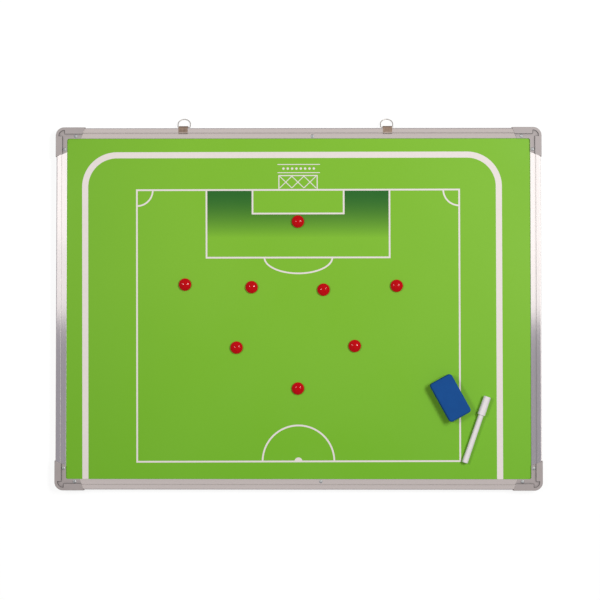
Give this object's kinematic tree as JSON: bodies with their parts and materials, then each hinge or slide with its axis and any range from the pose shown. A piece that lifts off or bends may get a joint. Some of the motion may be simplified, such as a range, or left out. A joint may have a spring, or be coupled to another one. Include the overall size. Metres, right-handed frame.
{
  "type": "magnetic tactics board",
  "caption": "Aluminium-framed magnetic football tactics board lying on its back, with dome player magnets, a block eraser, a capped marker and wire hanging rings.",
  "frame": {"origin": "middle of the board between its rails, on the plane of the rails' backs", "axes": "+Z out of the printed face, +Y to the top rail with the hanging rings, +X to the right as the face is read"},
  "size_m": [0.6016, 0.4613, 0.027],
  "materials": {
    "rail": "satin anodised",
    "corner": "satin grey moulding",
    "screw": "nickel plated",
    "film": "green print under clear film",
    "sheet_steel": "white coated steel",
    "core": "plain board",
    "back": "mill finish",
    "strap": "dulled bronze plating",
    "ring": "nickel plated wire",
    "magnet_red": "glossy",
    "ferrite": "matt",
    "eraser_blue": "matt foam",
    "felt": "dense felt",
    "marker_white": "satin",
    "marker_wick": "ink-soaked fibre"
  },
  "bodies": {
    "board": {"frame_rail_top": "rail", "frame_rail_bottom": "rail", "frame_rail_left": "rail", "frame_rail_right": "rail", "corner_cap_top_left": "corner", "corner_cap_top_right": "corner", "corner_cap_bottom_left": "corner", "corner_cap_bottom_right": "corner", "corner_screws": "screw", "rail_screws": "screw", "printed_film": "film", "steel_sheet": "sheet_steel", "panel_core": "core", "back_sheet": "back"},
    "player_magnet_1": {"player_magnet_cap_1": "magnet_red", "player_magnet_disc_1": "ferrite"},
    "player_magnet_2": {"player_magnet_cap_2": "magnet_red", "player_magnet_disc_2": "ferrite"},
    "player_magnet_3": {"player_magnet_cap_3": "magnet_red", "player_magnet_disc_3": "ferrite"},
    "player_magnet_4": {"player_magnet_cap_4": "magnet_red", "player_magnet_disc_4": "ferrite"},
    "player_magnet_5": {"player_magnet_cap_5": "magnet_red", "player_magnet_disc_5": "ferrite"},
    "player_magnet_6": {"player_magnet_cap_6": "magnet_red", "player_magnet_disc_6": "ferrite"},
    "player_magnet_7": {"player_magnet_cap_7": "magnet_red", "player_magnet_disc_7": "ferrite"},
    "player_magnet_8": {"player_magnet_cap_8": "magnet_red", "player_magnet_disc_8": "ferrite"},
    "eraser": {"eraser_body": "eraser_blue", "eraser_felt": "felt"},
    "marker": {"marker_barrel": "marker_white", "marker_end_plug": "marker_white", "marker_reservoir": "marker_wick", "marker_nib": "marker_wick"},
    "marker_cap": {"marker_cap": "marker_white"},
    "hanger_left": {"hanger_strap_left": "strap"},
    "hanger_ring_left": {"hanger_ring_left": "ring"},
    "hanger_right": {"hanger_strap_right": "strap"},
    "hanger_ring_right": {"hanger_ring_right": "ring"}
  },
  "joints": [
    {"name": "player_magnet_1_slide", "type": "slide", "parent": "board", "child": "player_magnet_1", "axis": [0, 1, 0], "range_m": [-0.0994, 0.0926]},
    {"name": "player_magnet_2_slide", "type": "slide", "parent": "board", "child": "player_magnet_2", "axis": [0, 1, 0], "range_m": [-0.2294, 0.1706]},
    {"name": "player_magnet_3_slide", "type": "slide", "parent": "board", "child": "player_magnet_3", "axis": [0, 1, 0], "range_m": [-0.2278, 0.1722]},
    {"name": "player_magnet_4_slide", "type": "slide", "parent": "board", "child": "player_magnet_4", "axis": [0, 1, 0], "range_m": [-0.2262, 0.1738]},
    {"name": "player_magnet_5_slide", "type": "slide", "parent": "board", "child": "player_magnet_5", "axis": [0, 1, 0], "range_m": [-0.2231, 0.1769]},
    {"name": "player_magnet_6_slide", "type": "slide", "parent": "board", "child": "player_magnet_6", "axis": [0, 1, 0], "range_m": [-0.1535, 0.2465]},
    {"name": "player_magnet_7_slide", "type": "slide", "parent": "board", "child": "player_magnet_7", "axis": [0, 1, 0], "range_m": [-0.1515, 0.2485]},
    {"name": "player_magnet_8_slide", "type": "slide", "parent": "board", "child": "player_magnet_8", "axis": [0, 1, 0], "range_m": [-0.101, 0.091]},
    {"name": "eraser_lift", "type": "slide", "parent": "board", "child": "eraser", "axis": [0, 0, 1], "range_m": [0, 0.15]},
    {"name": "marker_lift", "type": "slide", "parent": "board", "child": "marker", "axis": [0, 0, 1], "range_m": [0, 0.15]},
    {"name": "marker_cap_pull", "type": "slide", "parent": "marker", "child": "marker_cap", "axis": [0.3255, 0.9454, 0.018], "range_m": [0, 0.03]},
    {"name": "hanger_left_slide", "type": "slide", "parent": "board", "child": "hanger_left", "axis": [1, 0, 0], "range_m": [-0.109, 0.123]},
    {"name": "hanger_ring_left_swing", "type": "hinge", "parent": "hanger_left", "child": "hanger_ring_left", "pos_m": [-0.1422, 0.22535, 0.007], "axis": [1, 0, 0], "range_deg": [-44.7, 105.3]},
    {"name": "hanger_right_slide", "type": "slide", "parent": "board", "child": "hanger_right", "axis": [1, 0, 0], "range_m": [-0.0784, 0.1416]},
    {"name": "hanger_ring_right_swing", "type": "hinge", "parent": "hanger_right", "child": "hanger_ring_right", "pos_m": [0.1096, 0.22535, 0.007], "axis": [1, 0, 0], "range_deg": [-44.7, 105.3]}
  ]
}
